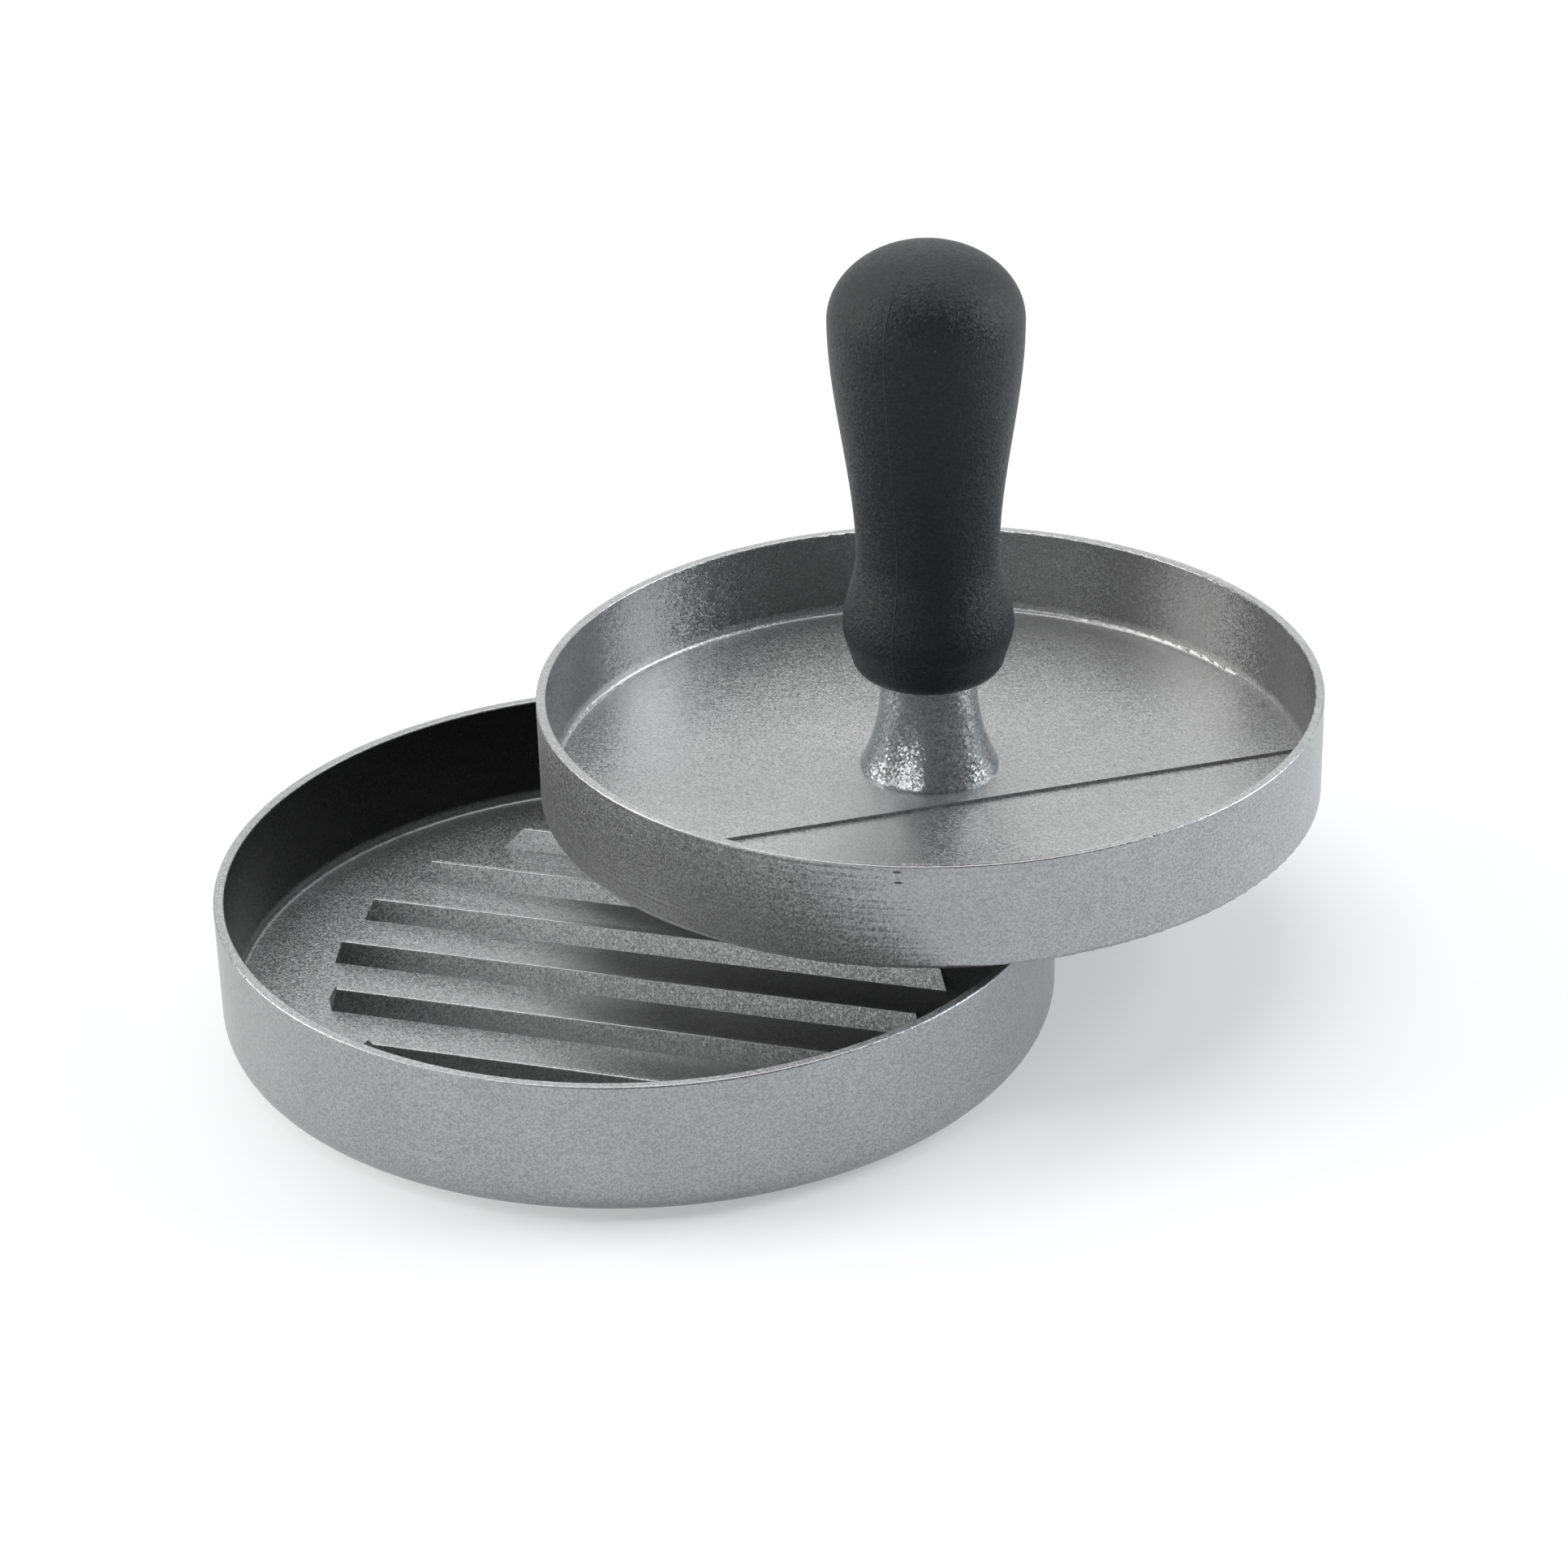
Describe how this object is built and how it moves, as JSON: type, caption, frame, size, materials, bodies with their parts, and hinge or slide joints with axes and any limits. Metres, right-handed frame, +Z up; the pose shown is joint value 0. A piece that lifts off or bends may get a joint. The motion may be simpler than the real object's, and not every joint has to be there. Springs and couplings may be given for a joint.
{
  "type": "burger press",
  "caption": "Round two-part burger press: a ridged cast pan, and a cast press tray with a flared collar and an upright moulded handle.",
  "frame": {"origin": "centre of the pan's underside, on the table", "axes": "+Z up; X along the pan's ridges; the press tray rests on the rim towards +X and +Y; the pictured side faces -Y"},
  "size_m": [0.1524, 0.1491, 0.106],
  "materials": {
    "coated_pan": "cast aluminium with a speckled dark grey non-stick coat, fine-grained satin",
    "coated_tray": "cast aluminium with a speckled dark grey non-stick coat over faint turning marks on the outer wall",
    "coated_collar": "turned aluminium with a brighter speckled grey coat",
    "black_grip": "matte black moulded plastic with a fine grain and a faint mould line",
    "insert_brass": "plain turned brass",
    "screw_steel": "zinc-plated steel",
    "washer_steel": "spring steel, zinc-plated"
  },
  "bodies": {
    "pan": {"base_pan": "coated_pan"},
    "press": {"press_tray": "coated_tray", "stem_collar": "coated_collar", "handle_grip": "black_grip", "handle_insert": "insert_brass", "handle_screw": "screw_steel", "lock_washer": "washer_steel"}
  },
  "joints": [
    {"name": "press_lift", "type": "slide", "parent": "pan", "child": "press", "axis": [0, 0, 1], "range_m": [0, 0.12]}
  ]
}
